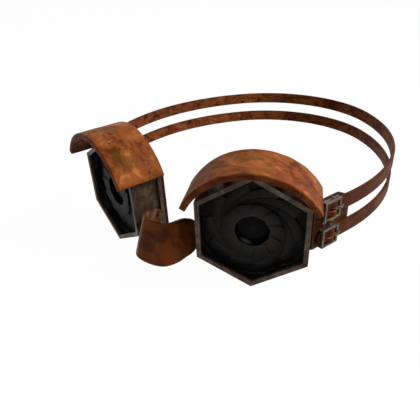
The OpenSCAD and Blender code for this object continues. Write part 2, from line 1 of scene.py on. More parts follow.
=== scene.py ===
# %% [markdown]
# # Steampunk goggles
# Two hexagonal steel eye cups sit at an angle to each other, joined by a leather band over the nose.
# A leather hood arches over each cup, ten thin blades close each eye like a camera's iris, and two
# leather straps run round the head to a pair of buckles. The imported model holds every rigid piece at
# its real size. This script gives those pieces their worn finishes and models the leather as leather.

# %% The frame and its helpers
import json

import bmesh
import bpy
import numpy as np
from mathutils import Matrix, Vector

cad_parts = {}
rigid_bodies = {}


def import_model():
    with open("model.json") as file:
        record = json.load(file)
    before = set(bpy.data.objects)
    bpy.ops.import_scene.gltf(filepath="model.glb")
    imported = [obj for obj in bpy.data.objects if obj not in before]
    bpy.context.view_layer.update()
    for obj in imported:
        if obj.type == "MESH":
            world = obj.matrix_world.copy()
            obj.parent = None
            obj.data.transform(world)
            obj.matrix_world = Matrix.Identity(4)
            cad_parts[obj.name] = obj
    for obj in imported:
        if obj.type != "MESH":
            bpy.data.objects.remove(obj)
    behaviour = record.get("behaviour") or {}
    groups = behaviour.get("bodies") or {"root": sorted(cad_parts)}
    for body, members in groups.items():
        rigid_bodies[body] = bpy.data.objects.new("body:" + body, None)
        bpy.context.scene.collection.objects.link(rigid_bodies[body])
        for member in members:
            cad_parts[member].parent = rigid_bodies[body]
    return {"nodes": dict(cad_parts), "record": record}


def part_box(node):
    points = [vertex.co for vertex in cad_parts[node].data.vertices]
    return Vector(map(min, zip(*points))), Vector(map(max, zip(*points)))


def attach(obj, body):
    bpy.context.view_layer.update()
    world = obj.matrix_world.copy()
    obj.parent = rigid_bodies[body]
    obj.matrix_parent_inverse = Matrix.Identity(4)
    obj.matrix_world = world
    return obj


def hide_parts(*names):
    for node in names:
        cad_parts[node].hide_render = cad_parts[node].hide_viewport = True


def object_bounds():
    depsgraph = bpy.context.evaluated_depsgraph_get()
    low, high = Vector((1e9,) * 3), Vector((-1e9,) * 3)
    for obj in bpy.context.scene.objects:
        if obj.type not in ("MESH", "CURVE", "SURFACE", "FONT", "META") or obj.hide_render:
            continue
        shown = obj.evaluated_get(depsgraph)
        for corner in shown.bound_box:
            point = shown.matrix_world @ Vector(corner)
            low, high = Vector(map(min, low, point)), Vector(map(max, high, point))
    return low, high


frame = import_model()
cad_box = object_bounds()
nodes = frame["nodes"]
record = frame["record"]
MM = 0.001
SIDES = ("right", "left")


def add_object(name, data):
    """A new object in the scene."""
    made = bpy.data.objects.new(name, data)
    bpy.context.scene.collection.objects.link(made)
    return made


print("pieces of the packed model:", len(nodes))

# %% [markdown]
# ## Camera
# The photograph looks down on the goggles from the wearer's left front. The camera stands at that
# spot and turns a little clockwise, as the photograph's own horizon does.

# %% Camera
PICTURE = 420
SENSOR = 36.0
FOCAL_PIXELS = 458.91
CAMERA_PLACE = Vector((139.64, -177.55, 127.56)) * MM
CAMERA_AZIMUTH, CAMERA_ELEVATION, CAMERA_ROLL = np.radians((33.169, 29.415, -1.778))


def camera_matrix(place, azimuth, elevation, roll):
    """The camera's axes: back from its azimuth and elevation, right and up turned by the roll."""
    level = np.cos(elevation)
    back = Vector((np.sin(azimuth) * level, -np.cos(azimuth) * level, np.sin(elevation)))
    right = Vector((np.cos(azimuth), np.sin(azimuth), 0))
    up = back.cross(right)
    across = right * np.cos(roll) + up * np.sin(roll)
    upright = up * np.cos(roll) - right * np.sin(roll)
    turn = Matrix((across, upright, back)).transposed().to_4x4()
    return Matrix.Translation(place) @ turn


camera = add_object("camera", bpy.data.cameras.new("camera"))
camera.data.sensor_width = SENSOR
camera.data.lens = SENSOR * FOCAL_PIXELS / PICTURE
camera.matrix_world = camera_matrix(CAMERA_PLACE, CAMERA_AZIMUTH, CAMERA_ELEVATION, CAMERA_ROLL)
camera.data.clip_start, camera.data.clip_end = 0.01, 20
bpy.context.scene.camera = camera
bpy.context.scene.view_settings.view_transform = "Standard"
print("lens", round(camera.data.lens, 2), "mm")

# %% [markdown]
# ## Nodes in one line
# A material is a small graph. These helpers add a node, feed it values or other nodes, and give back
# the socket that carries its result, so that a finish reads like a recipe.

# %% Material helpers


class Recipe:
    """One node material: each method adds a node and returns its main output."""

    def __init__(self, name):
        self.material = bpy.data.materials.new(name)
        self.material.use_nodes = True
        self.tree = self.material.node_tree
        self.shader = self.tree.nodes["Principled BSDF"]
        self.coords = self.tree.nodes.new("ShaderNodeTexCoord").outputs["Object"]

    def put(self, socket, value):
        """Feeds a socket from another node's output, or sets it to a value."""
        if isinstance(value, bpy.types.NodeSocket):
            self.tree.links.new(value, socket)
        else:
            socket.default_value = value

    def node(self, kind, output=0, settings=(), **inputs):
        """A node of any kind, with its settings and the values of its inputs by name."""
        made = self.tree.nodes.new(kind)
        for key, value in dict(settings).items():
            setattr(made, key, value)
        for key, value in inputs.items():
            self.put(made.inputs[key.replace("_", " ")], value)
        return made.outputs[output]

    def stretched(self, scale, turn=(0, 0, 0)):
        """Object coordinates scaled and turned, for streaks."""
        return self.node("ShaderNodeMapping", Vector=self.coords, Scale=scale, Rotation=turn)

    def noise(self, scale, detail, roughness=0.55, distortion=0.0, vector=None):
        return self.node("ShaderNodeTexNoise", Vector=vector or self.coords, Scale=scale, Detail=detail,
                         Roughness=roughness, Distortion=distortion)

    def cells(self, scale):
        """Distance from the middle of the nearest of many small cells."""
        return self.node("ShaderNodeTexVoronoi", Vector=self.coords, Scale=scale)

    def ramp(self, value, stops):
        """A colour or grey value read from a list of (position, colour)."""
        made = self.tree.nodes.new("ShaderNodeValToRGB")
        band = made.color_ramp
        while len(band.elements) < len(stops):
            band.elements.new(1.0)
        for element, (position, colour) in zip(band.elements, stops):
            element.position = position
            element.color = (*colour, 1)
        self.put(made.inputs["Fac"], value)
        return made.outputs["Color"]

    def between(self, value, low, high):
        """0 below low, 1 above high, smooth in between. With low above high it is 1 below and 0 above."""
        return self.node("ShaderNodeMapRange", settings={"interpolation_type": "SMOOTHSTEP"}, Value=value,
                         From_Min=low, From_Max=high)

    def math(self, operation, a, b=0.0):
        made = self.tree.nodes.new("ShaderNodeMath")
        made.operation = operation
        self.put(made.inputs[0], a)
        self.put(made.inputs[1], b)
        return made.outputs[0]

    def opaque(self, colour):
        """A written colour with its fourth number, or a socket as it is."""
        return colour if isinstance(colour, bpy.types.NodeSocket) else (*colour, 1)

    def mix(self, colour, other, amount, *shares):
        """A colour turning into another where the amount is 1. Each share weakens the amount."""
        for share in shares:
            amount = self.math("MULTIPLY", amount, share)
        made = self.tree.nodes.new("ShaderNodeMix")
        made.data_type = "RGBA"
        self.put(made.inputs["Factor"], amount)
        self.put(made.inputs["A"], self.opaque(colour))
        self.put(made.inputs["B"], self.opaque(other))
        return made.outputs["Result"]

    def spread(self, value, low, high, from_low, to_high):
        """A straight scale: from_low at low, to_high at high."""
        return self.node("ShaderNodeMapRange", Value=value, From_Min=low, From_Max=high, To_Min=from_low,
                         To_Max=to_high)

    def attribute(self, name):
        """A mask that was written on the points."""
        return self.node("ShaderNodeAttribute", 2, {"attribute_name": name})

    def away(self, point):
        """Distance from a point of the shared frame."""
        made = self.tree.nodes.new("ShaderNodeVectorMath")
        made.operation = "DISTANCE"
        self.put(made.inputs[0], self.coords)
        made.inputs[1].default_value = point
        return made.outputs["Value"]

    def ridge(self, value, width):
        """1 along the line where a noise passes its middle, 0 past the given width."""
        return self.between(self.math("ABSOLUTE", self.math("SUBTRACT", value, 0.5)), width, 0.0)

    def worn_edge(self, radius, low, high):
        """1 where the surface turns a corner, from the gap between a rounded and a true normal."""
        rounded = self.node("ShaderNodeBevel", settings={"samples": 6}, Radius=radius)
        true = self.node("ShaderNodeNewGeometry", 1)
        made = self.tree.nodes.new("ShaderNodeVectorMath")
        made.operation = "DOT_PRODUCT"
        self.put(made.inputs[0], rounded)
        self.put(made.inputs[1], true)
        return self.between(self.math("SUBTRACT", 1.0, made.outputs["Value"]), low, high)

    def bump(self, height, strength, distance, normal=None):
        made = self.tree.nodes.new("ShaderNodeBump")
        made.inputs["Strength"].default_value = strength
        made.inputs["Distance"].default_value = distance
        self.put(made.inputs["Height"], height)
        if normal is not None:
            self.put(made.inputs["Normal"], normal)
        return made.outputs["Normal"]

    def finish(self, colour, roughness, metallic=0.0, normal=None, **extra):
        """Feeds the surface shader and gives back the material."""
        self.put(self.shader.inputs["Base Color"], self.opaque(colour))
        self.put(self.shader.inputs["Roughness"], roughness)
        self.shader.inputs["Metallic"].default_value = metallic
        if normal is not None:
            self.put(self.shader.inputs["Normal"], normal)
        for key, value in extra.items():
            self.shader.inputs[key.replace("_", " ")].default_value = value
        return self.material


# %% [markdown]
# ## Leather
# The hoods and straps are old, hand-coloured leather: orange-brown, mottled with darker stain, with
# purple-brown veins, a fine pebbled grain, and cut edges that are darker than the face. One recipe
# makes all of it, from a base, a dark and a light colour and the size of the mottling.

# %% Leather finish


def leather(name, base, dark, light, vein, olive, mottle, vein_amount, gloss, face=0.0, shine=0.05):
    """Old leather. A band's edge mask darkens its cut edges, and face darkens its outer side."""
    r = Recipe(name)
    flow = r.stretched((0.7, 1.2, 1.2), (0.2, 0.1, 0.5))
    stain = r.noise(mottle, 6, 0.62, 1.1, flow)
    colour = r.ramp(stain, [(0.37, dark), (0.47, base), (0.54, base), (0.66, light)])
    green = r.between(r.noise(mottle * 1.3, 3, 0.6, 0.8), 0.54, 0.64)
    colour = r.mix(colour, olive, green, 0.6)
    veins = r.ridge(r.noise(mottle * 0.6, 4, 0.65, 1.8, flow), 0.035)
    patchy = r.between(r.noise(mottle * 0.45, 2), 0.40, 0.54)
    colour = r.mix(colour, vein, veins, patchy, vein_amount)
    bruise = r.between(r.noise(mottle * 0.8, 4, 0.6, 0.5), 0.55, 0.68)
    colour = r.mix(colour, vein, bruise, vein_amount * 0.6)
    pores = r.cells(2600.0)
    fine = r.noise(1500.0, 3, 0.6)
    colour = r.mix(colour, dark, r.between(pores, 0.25, 0.0), 0.3)
    colour = r.mix(colour, dark, r.attribute("outer"), face)
    colour = r.mix(colour, [0.7 * v for v in dark], r.attribute("edge"), 0.55)
    creases = r.ridge(r.noise(mottle * 4.0, 3, 0.5, 0.8), 0.03)
    grain = r.bump(pores, 0.3, 0.00015)
    grain = r.bump(fine, 0.25, 0.00012, grain)
    grain = r.bump(creases, -0.3, 0.0002, grain)
    rough = r.spread(stain, 0.3, 0.7, gloss + 0.12, gloss - 0.06)
    return r.finish(colour, rough, normal=grain, Specular_IOR_Level=shine, Specular_Tint=(1, 0.5, 0.25, 1))


HOOD_LEATHER = leather(
    "hood_leather", base=(0.33, 0.092, 0.022), dark=(0.12, 0.030, 0.010), light=(0.52, 0.190, 0.060),
    vein=(0.12, 0.028, 0.026), olive=(0.10, 0.055, 0.010), mottle=62.0, vein_amount=0.85, gloss=0.5)
BRIDGE_LEATHER = leather(
    "bridge_leather", base=(0.225, 0.058, 0.013), dark=(0.095, 0.023, 0.007), light=(0.34, 0.105, 0.026),
    vein=(0.08, 0.018, 0.016), olive=(0.05, 0.026, 0.007), mottle=45.0, vein_amount=0.5, gloss=0.3,
    shine=0.12)
STRAP_LEATHER = leather(
    "strap_leather", base=(0.215, 0.058, 0.017), dark=(0.060, 0.015, 0.007), light=(0.32, 0.105, 0.032),
    vein=(0.06, 0.012, 0.012), olive=(0.09, 0.042, 0.010), mottle=85.0, vein_amount=0.9, gloss=0.5, face=0.8)
TAB_LEATHER = leather(
    "tab_leather", base=(0.075, 0.022, 0.009), dark=(0.025, 0.008, 0.004), light=(0.16, 0.055, 0.022),
    vein=(0.03, 0.009, 0.008), olive=(0.03, 0.015, 0.006), mottle=60.0, vein_amount=0.5, gloss=0.42)
GASKET_LEATHER = leather(
    "gasket_leather", base=(0.075, 0.016, 0.008), dark=(0.03, 0.007, 0.005), light=(0.12, 0.03, 0.014),
    vein=(0.02, 0.006, 0.006), olive=(0.03, 0.012, 0.005), mottle=80.0, vein_amount=0.5, gloss=0.55)
print("leathers:", [m.name for m in bpy.data.materials if m.name.endswith("leather")])

# %% [markdown]
# ## Metal
# The cups are bare steel gone brown-grey: cloudy, speckled with dark pits, brushed along one way, and
# rubbed bright where the corners meet hands and cloth. The blades are blued nearly black.

# %% Metal finishes


def worn_steel(name, base, dark, light, wear, metal, rough=0.5, streak=(1, 1, 1)):
    """Old steel or brass: clouds, brushing, pits and rust, with its wear colour on the corners."""
    r = Recipe(name)
    cloud = r.noise(110.0, 5, 0.65, 0.4)
    colour = r.ramp(cloud, [(0.3, dark), (0.5, base), (0.7, light)])
    brushed = r.noise(500.0, 3, 0.6, 0.0, r.stretched(streak))
    colour = r.mix(colour, light, r.between(brushed, 0.45, 0.75), 0.5)
    pits = r.between(r.noise(900.0, 2, 0.7), 0.62, 0.72)
    colour = r.mix(colour, dark, pits, 0.7)
    rust = r.between(r.noise(190.0, 4, 0.7), 0.52, 0.68)
    colour = r.mix(colour, (0.12, 0.05, 0.025), rust, 0.45)
    corner = r.worn_edge(0.0007, 0.01, 0.16)
    patchy = r.between(r.noise(300.0, 3, 0.7), 0.3, 0.6)
    colour = r.mix(colour, wear, corner, patchy, 0.8)
    roughness = r.spread(cloud, 0.3, 0.7, rough + 0.15, rough - 0.08)
    normal = r.bump(brushed, 0.15, 0.0001)
    normal = r.bump(pits, -0.4, 0.0001, normal)
    return r.finish(colour, roughness, metal, normal, Specular_IOR_Level=0.3)


CUP_STEEL = worn_steel(
    "cup_steel", base=(0.058, 0.036, 0.024), dark=(0.018, 0.011, 0.008), light=(0.17, 0.120, 0.088),
    wear=(0.24, 0.17, 0.125), metal=0.35, streak=(1, 1, 0.15))
BUCKLE_STEEL = worn_steel(
    "buckle_steel", base=(0.070, 0.046, 0.032), dark=(0.02, 0.013, 0.009), light=(0.21, 0.155, 0.11),
    wear=(0.52, 0.43, 0.32), metal=0.6, rough=0.38)
BRACKET_STEEL = worn_steel(
    "bracket_steel", base=(0.024, 0.016, 0.012), dark=(0.008, 0.005, 0.004), light=(0.055, 0.04, 0.03),
    wear=(0.12, 0.09, 0.07), metal=0.4)
BRASS = worn_steel(
    "brass", base=(0.16, 0.09, 0.03), dark=(0.05, 0.026, 0.01), light=(0.30, 0.19, 0.07),
    wear=(0.45, 0.33, 0.16), metal=0.6, rough=0.42)


def blued_steel(name):
    """Dark blade steel, streaked, with a painted highlight where the sheen mask is 1 and painted shade where
    it falls to 0.
    """
    r = Recipe(name)
    streak = r.noise(90.0, 4, 0.6, 1.4)
    colour = r.ramp(streak, [(0.3, (0.004, 0.004, 0.004)), (0.55, (0.009, 0.0085, 0.008)),
                             (0.75, (0.017, 0.015, 0.014))])
    dust = r.between(r.noise(420.0, 3, 0.7), 0.55, 0.75)
    colour = r.mix(colour, (0.02, 0.018, 0.016), dust, 0.35)
    # Painted light: the sheen mask lightens each blade at its inner edge and leaves painted shade towards its
    # outer edge
    colour = r.mix(colour, (0.046, 0.042, 0.040), r.attribute("painted_sheen"))
    rough = r.spread(streak, 0.3, 0.7, 0.62, 0.46)
    return r.finish(colour, rough, 0.0, r.bump(streak, 0.2, 0.0002), Specular_IOR_Level=0.06)


BLADE_STEEL = blued_steel("blade_steel")
print("metals:", [m.name for m in (CUP_STEEL, BUCKLE_STEEL, BRACKET_STEEL, BRASS, BLADE_STEEL)])

# %% [markdown]
# ## Lens glass
# Through the open iris the domed lens looks black, with a small pale glint low on the nose side. A
# lamp that made it would light the hoods too, so the glint is painted: a soft spot, kept only where it
# lies outside a circle round a second point, which gives it a crescent's inner edge.

# %% Lens glass
GLINT = (-3.9 * MM, 6.4 * MM, -8.7 * MM)
GLINT_REACH, PAINTED_GLOW_REACH = 4.6 * MM, 3 * MM
CIRCLE_CENTRE = (1.6 * MM, 6.4 * MM, 3.2 * MM)
CIRCLE_RADIUS, CIRCLE_FADE = 11 * MM, 2 * MM


def dark_glass(name, cup):
    """A nearly black lens with painted highlights: a faint glow in its middle and a pale glint low on the
    nose side.
    """
    r = Recipe(name)
    rough = r.spread(r.noise(160.0, 3, 0.6), 0.35, 0.7, 0.3, 0.4)
    past = r.between(r.away(cup.place(*CIRCLE_CENTRE)), CIRCLE_RADIUS, CIRCLE_RADIUS + CIRCLE_FADE)
    near = r.between(r.away(cup.place(*GLINT)), GLINT_REACH, 0.0)
    # Painted highlight: a faint lighter spot in the middle of the lens
    middle = r.between(r.away(cup.place(0, GLINT[1], 0)), PAINTED_GLOW_REACH, 0.0)
    colour = r.mix((0.001, 0.001, 0.0012), (0.11, 0.11, 0.11), middle, 0.12)
    colour = r.mix(colour, (0.42, 0.42, 0.42), past, near)
    return r.finish(colour, rough, 0.0, None, Specular_IOR_Level=0.04)


print("glint fades out", round(GLINT_REACH / MM, 1), "mm from its centre")

# %% [markdown]
# ## Surfaces from formulas
# Every leather piece here is a band: a rounded strip carried along a path. A strap is a long narrow
# band, a hood is a short wide one bent to an arc, and the gasket is a band that closes on itself. One
# function makes them all from a centre line, the direction of the width and that of the thickness.
# First come its outline and the small helpers that it needs.

# %% Outline helpers
CORNER_STEPS = 5


def section(face_steps):
    """A rounded strip's outline, once round: for each point the share of the half width and half
    thickness inside the rounding, and the direction of the rounding. Points crowd towards the edges."""
    across = np.sin(np.linspace(-np.pi / 2, np.pi / 2, face_steps + 1))[1:-1]
    turn = np.linspace(0, np.pi / 2, CORNER_STEPS)
    rows = []
    for corner in range(4):
        start = corner * np.pi / 2
        sx, sy = ((1, 1), (-1, 1), (-1, -1), (1, -1))[corner]
        rows += [(sx, sy, np.cos(start + t), np.sin(start + t)) for t in turn]
        if corner % 2 == 0:
            rows += [(-sx * a, sy, 0.0, float(sy)) for a in across]
    return np.array(rows)


def along(values, places, wanted):
    """Reads a row of values, given at places along a path, at the wanted places."""
    values = np.asarray(values, float)
    if values.ndim == 1:
        return np.interp(wanted, places, values)
    return np.stack([np.interp(wanted, places, values[:, k]) for k in range(values.shape[1])], 1)


def unit(vectors):
    return vectors / np.linalg.norm(vectors, axis=-1, keepdims=True)


def waves(points, size, seed):
    """Smooth unevenness: three sine waves that run in different directions, from -1 to 1."""
    total = np.zeros(len(points))
    for k in range(3):
        angle = seed + 2.1 * k
        direction = np.array([np.cos(angle), np.sin(angle), np.sin(1.7 * angle + 1)])
        total += np.sin(points @ direction * (2 * np.pi / size) * (1 + 0.37 * k) + 1.3 * k + seed)
    return total / 3


print("outline of a strip:", len(section(16)), "points")

# %% [markdown]
# ### From arrays to a mesh
# The outline is set down at every station along the path, and neighbouring outlines are joined by
# four-sided faces. Two masks go with the points: how near a cut edge is, and which side is the outer one.

# %% Band helper


def mesh_piece(name, points, faces, **masks):
    """A mesh object from arrays, smooth shaded, with each mask as a point attribute."""
    mesh = bpy.data.meshes.new(name)
    mesh.from_pydata(points.tolist(), [], faces)
    for key, values in masks.items():
        mesh.attributes.new(key, "FLOAT", "POINT").data.foreach_set("value", np.asarray(values, np.float32))
    mesh.polygons.foreach_set("use_smooth", np.ones(len(mesh.polygons), bool))
    return add_object(name, mesh)


def band_arrays(centre, width_dir, thick_dir, half_w, half_t, rounding, face_steps, closed=False, uneven=0.0,
                seed=0, edge_reach=0.0006):
    """Points, faces, edge mask and outer side of a band. Each point is the centre, plus its share of
    the width and thickness, plus the rounding. Open ends shrink over their last bit, like a pressed rim."""
    n = len(centre)
    width_dir, thick_dir = np.broadcast_to(width_dir, (n, 3)), np.broadcast_to(thick_dir, (n, 3))
    half_w, half_t = np.broadcast_to(half_w, n), np.broadcast_to(half_t, n)
    step = np.linalg.norm(np.diff(centre, axis=0), axis=1)
    place = np.concatenate([[0], np.cumsum(step)])
    shrink = np.zeros(n)
    where = place
    if not closed:
        # Stations crowd at both ends, where the outline is drawn in to round the rim
        bend = np.linspace(np.pi / 2, 0, CORNER_STEPS)
        rim = rounding * (1 - np.sin(bend))
        inner = place[(place > rounding * 1.3) & (place < place[-1] - rounding * 1.3)]
        where = np.concatenate([rim, inner, place[-1] - rim[::-1]])
        pull = rounding * (1 - np.cos(bend))
        shrink = np.concatenate([pull, np.zeros(len(inner)), pull[::-1]])
    c, w, t = along(centre, place, where), along(width_dir, place, where), along(thick_dir, place, where)
    w, t = unit(w), unit(t)
    hw, ht = along(half_w, place, where), along(half_t, place, where)
    # The outline at every station: a across the width, b through the thickness
    share = section(face_steps)
    a = share[:, 0] * (hw - rounding)[:, None] + share[:, 2] * (rounding - shrink)[:, None]
    b = share[:, 1] * (ht - rounding)[:, None] + share[:, 3] * (rounding - shrink)[:, None]
    points = c[:, None] + a[..., None] * w[:, None] + b[..., None] * t[:, None]
    if uneven:
        broad = waves(c, 0.03, seed)[:, None]
        small = waves(points.reshape(-1, 3), 0.017, seed + 1).reshape(a.shape)
        points = points + ((broad + small) * 0.5 * uneven)[..., None] * t[:, None]
    # The edge mask falls off with the distance from the nearest rim
    m, k = len(where), len(share)
    from_side = hw[:, None] - np.abs(a)
    from_end = np.inf if closed else np.minimum(where, place[-1] - where)[:, None]
    edge = np.exp(-np.clip(np.minimum(from_side, from_end) - rounding * 0.5, 0, None) / edge_reach)
    rings = np.arange(m if closed else m - 1)
    i, j = np.meshgrid(rings, np.arange(k), indexing="ij")
    i2, j2 = (i + 1) % m, (j + 1) % k
    faces = np.stack([i * k + j, i2 * k + j, i2 * k + j2, i * k + j2], -1).reshape(-1, 4).tolist()
    if not closed:
        faces += [list(range(k))[::-1], list(range((m - 1) * k, m * k))]
    outer = np.broadcast_to(share[:, 3] > 0.5, a.shape)
    return points.reshape(-1, 3), faces, edge.ravel(), outer.ravel()


# %% [markdown]
# ### From a mesh to a piece
# A piece is ready when its faces point outwards and it has its material and the body that it moves with, and
# the imported nodes whose place it takes are hidden.

# %% Pieces and bodies
ROOT = "goggles"
UPRIGHT = (0, 0, 1)


def outwards(piece):
    """Turns a closed mesh's faces outwards."""
    work = bmesh.new()
    work.from_mesh(piece.data)
    bmesh.ops.recalc_face_normals(work, faces=work.faces)
    work.to_mesh(piece.data)
    work.free()
    return piece


def band(name, *parts, **options):
    """One object from one band, or from several that are parts of the same piece of leather."""
    points, faces, edges, outers, count = [], [], [], [], 0
    for part in parts:
        p, f, e, o = band_arrays(**part, **options)
        points.append(p)
        faces += [[v + count for v in face] for face in f]
        edges.append(e)
        outers.append(o)
        count += len(p)
    masks = dict(edge=np.concatenate(edges), outer=np.concatenate(outers))
    return outwards(mesh_piece(name, np.concatenate(points), faces, **masks))


def dress(piece, material, body, slot, *replaced):
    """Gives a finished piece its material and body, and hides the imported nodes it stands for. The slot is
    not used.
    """
    piece.data.materials.clear()
    piece.data.materials.append(material)
    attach(piece, body)
    if replaced:
        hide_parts(*replaced)
    return piece


print("main body:", ROOT)

# %% [markdown]
# ## Each cup's own directions
# The record's face mounts say where the back of each gasket is and which way it faces. Back, up and
# outwards from there make a frame in which a cup is a plain upright hexagon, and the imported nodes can
# be measured in it.

# %% Cup frames


class Cup:
    """A cup's origin at the centre of its front face, with outward, back and up directions."""

    def __init__(self, side):
        mount = next(m for m in record["mounts"] if m["name"] == f"face_rest_{side}")
        self.back = unit(np.array(mount["axis"], float))
        self.up = unit(np.array([0, 0, 1.0]) - self.back[2] * self.back)
        self.out = np.cross(self.back, self.up) * (1 if side == "right" else -1)
        self.origin = np.array(mount["pos_m"], float)
        front = self.measure(f"bezel_{side}")[:, 1].min()
        self.origin = self.origin + front * self.back

    def place(self, out, back, up):
        """Points of the shared frame from distances outwards, back and up."""
        out, back, up = np.broadcast_arrays(out, back, up)
        return self.origin + out[..., None] * self.out + back[..., None] * self.back + up[..., None] * self.up

    def direction(self, out, back, up):
        return self.place(out, back, up) - self.origin

    def split(self, points):
        """Points of the shared frame as distances outwards, back and up."""
        away = np.asarray(points) - self.origin
        return np.stack([away @ self.out, away @ self.back, away @ self.up], -1)

    def measure(self, node):
        """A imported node's points in this frame: outwards, back, up."""
        mesh = nodes[node].data
        flat = np.empty(len(mesh.vertices) * 3)
        mesh.vertices.foreach_get("co", flat)
        return self.split(flat.reshape(-1, 3))


def middle_and_half(values):
    """The middle of a set of values, and half of their spread."""
    return (values.max() + values.min()) / 2, (values.max() - values.min()) / 2


CUPS = {side: Cup(side) for side in SIDES}
print("front faces at", [np.round(c.origin / MM, 1).tolist() for c in CUPS.values()])

# %% [markdown]
# ## Hoods
# A hood is one thick strip of leather bent over the top of a cup, its ends hanging free past the
# corners. Its radius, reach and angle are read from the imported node. The real one is hand-cut, so its
# faces are a little uneven and its rims are softly rounded.

# %% Hoods
HOOD_STATIONS = 73
HOOD_ROUNDING, HOOD_UNEVEN = 0.7 * MM, 0.22 * MM
HOOD_SEEDS = {"right": 1, "left": 4}


def hood(side):
    """An arc of constant radius; the width runs front to back and the thickness points outwards."""
    cup = CUPS[side]
    out, back, up = cup.measure(f"hood_{side}").T
    radius, half_t = middle_and_half(np.hypot(out, up))
    middle, half_depth = middle_and_half(back)
    turned = np.arctan2(out, up)
    angle = np.linspace(turned.min(), turned.max(), HOOD_STATIONS)
    centre = cup.place(radius * np.sin(angle), middle, radius * np.cos(angle))
    shape = dict(centre=centre, width_dir=cup.direction(0, 1, 0), half_w=half_depth, half_t=half_t,
                 thick_dir=cup.direction(np.sin(angle), 0, np.cos(angle)), rounding=HOOD_ROUNDING)
    made = band(f"hood_leather_{side}", shape, uneven=HOOD_UNEVEN, seed=HOOD_SEEDS[side], face_steps=30)
    return dress(made, HOOD_LEATHER, ROOT, "orange_leather", f"hood_{side}")


for side in SIDES:
    made = hood(side)
    print(made.name, len(made.data.vertices), "points")

# %% [markdown]
# ## Face gaskets
# Behind each cup's flange a flat leather ring keeps the steel off the face. It is a band that closes
# on itself round a hexagon with softened corners.

# %% Face gaskets
GASKET_WIDTH, GASKET_CORNER, GASKET_ROUNDING = 2.9 * MM, 3 * MM, 0.5 * MM


def hexagon_path(inradius, corner):
    """The middle line of a six-sided ring and its outward normals. Each corner is a short arc."""
    reach = (inradius - corner) / np.cos(np.pi / 6)
    places, normals = [], []
    for k in range(6):
        middle = np.radians(60 * k + 30)
        turn = middle + np.linspace(-np.pi / 6, np.pi / 6, 8)
        normal = np.stack([np.cos(turn), np.sin(turn)], 1)
        places.append(reach * np.array([np.cos(middle), np.sin(middle)]) + corner * normal)
        normals.append(normal)
    return np.concatenate(places), np.concatenate(normals)


def gasket(side):
    """A closed band: the width lies in the ring's plane and the thickness runs front to back."""
    cup = CUPS[side]
    out, back, up = cup.measure(f"face_gasket_{side}").T
    middle, half_t = middle_and_half(back)
    path, normal = hexagon_path(out.max() - GASKET_WIDTH / 2, GASKET_CORNER)
    centre = cup.place(path[:, 0], middle, path[:, 1])
    shape = dict(centre=centre, width_dir=cup.direction(normal[:, 0], 0, normal[:, 1]),
                 thick_dir=cup.direction(0, 1, 0), half_w=GASKET_WIDTH / 2, half_t=half_t,
                 rounding=GASKET_ROUNDING, closed=True)
    made = band(f"gasket_leather_{side}", shape, face_steps=8)
    return dress(made, GASKET_LEATHER, ROOT, "gasket_leather", f"face_gasket_{side}")


for side in SIDES:
    print(gasket(side).name)

# %% [markdown]
# ## Nose bridge
# The bridge is a cuff of leather that leaves one cup's inner wall, swings forward round the nose and
# comes back to the other. It flares: its lower edge reaches further forward than its upper edge. Both
# edges are smooth curves through a few points, mirrored about the middle.

# %% Nose bridge
BRIDGE_TOP = [(0, -16.8, 2.2), (7, -16.4, 3.4), (10.2, -12.4, 3.9), (10.2, -6.2, 2.2), (12.4, -1.6, 0)]
BRIDGE_LOW = [(0, -25, -20), (8.6, -24.4, -19), (13, -19.4, -18.4), (14.8, -12.6, -17.9), (16, -7.8, -17.2)]
FOOT_TOP = [(11.8, -3.2), (16.3, -4)]
FOOT_LOW = [(11.8, -16.6), (16.3, -16.4)]
BRIDGE_HALF, BRIDGE_GAP = 1.0, 0.05
FOOT_STEPS = 6


def smooth(points, per_step):
    """A curve through the points: each step blends them so that the slope is shared at every point.
    The first point lies in the middle plane, and the point before it is the second one's mirror."""
    p = np.asarray(points, float)
    before = np.vstack([p[1:2] * [-1, 1, 1], p[:-1]])
    after = np.vstack([p[1:], 2 * p[-1:] - p[-2:-1]])
    t = np.linspace(0, 1, per_step, endpoint=False)[:, None]
    rows = []
    for a, b, c, d in zip(before[:-1], p[:-1], p[1:], after[1:]):
        rows.append(0.5 * (2 * b + (c - a) * t + (2 * a - 5 * b + 4 * c - d) * t ** 2
                           + (3 * b - a - 3 * c + d) * t ** 3))
    return np.vstack(rows + [p[-1:]])


def bridge():
    """A band between two mirrored edge curves: its width is the line from the low edge to the top."""
    cup = CUPS["right"]
    wall = cup.measure("bezel_right")[:, 0].max()
    foot_u = -(wall + (BRIDGE_HALF + BRIDGE_GAP) * MM)
    halves = []
    for edge, foot in ((BRIDGE_TOP, FOOT_TOP), (BRIDGE_LOW, FOOT_LOW)):
        ends = [cup.place(foot_u, d * MM, v * MM) / MM for d, v in foot]
        half = smooth(edge + [tuple(ends[0])], 10)
        last = ends[0] + (ends[1] - ends[0]) * np.linspace(0, 1, FOOT_STEPS + 1)[1:, None]
        half = np.vstack([half, last]) * MM
        halves.append(np.vstack([(half * [-1, 1, 1])[:0:-1], half]))
    top, low = halves
    centre, rise = (top + low) / 2, top - low
    tangent = np.gradient(centre, axis=0)
    thick = unit(np.cross(tangent, rise))
    on_wall = np.abs(centre[:, 0]) > abs(centre[-FOOT_STEPS - 2, 0])
    sides = np.sign(centre[:, :1])
    wall_normal = cup.direction(1, 0, 0) * np.hstack([sides, sides ** 2, sides ** 2])
    wall_normal *= np.sign((thick * wall_normal).sum(1, keepdims=True))
    thick[on_wall] = wall_normal[on_wall]
    shape = dict(centre=centre, width_dir=unit(rise), thick_dir=thick, half_t=BRIDGE_HALF * MM,
                 half_w=np.linalg.norm(rise, axis=1) / 2, rounding=0.55 * MM)
    made = band("bridge_leather", shape, face_steps=20, edge_reach=0.0004)
    return dress(made, BRIDGE_LEATHER, ROOT, "brown_leather", "nose_bridge")


print("bridge", np.round(bridge().dimensions.x / MM, 1), "mm over all")

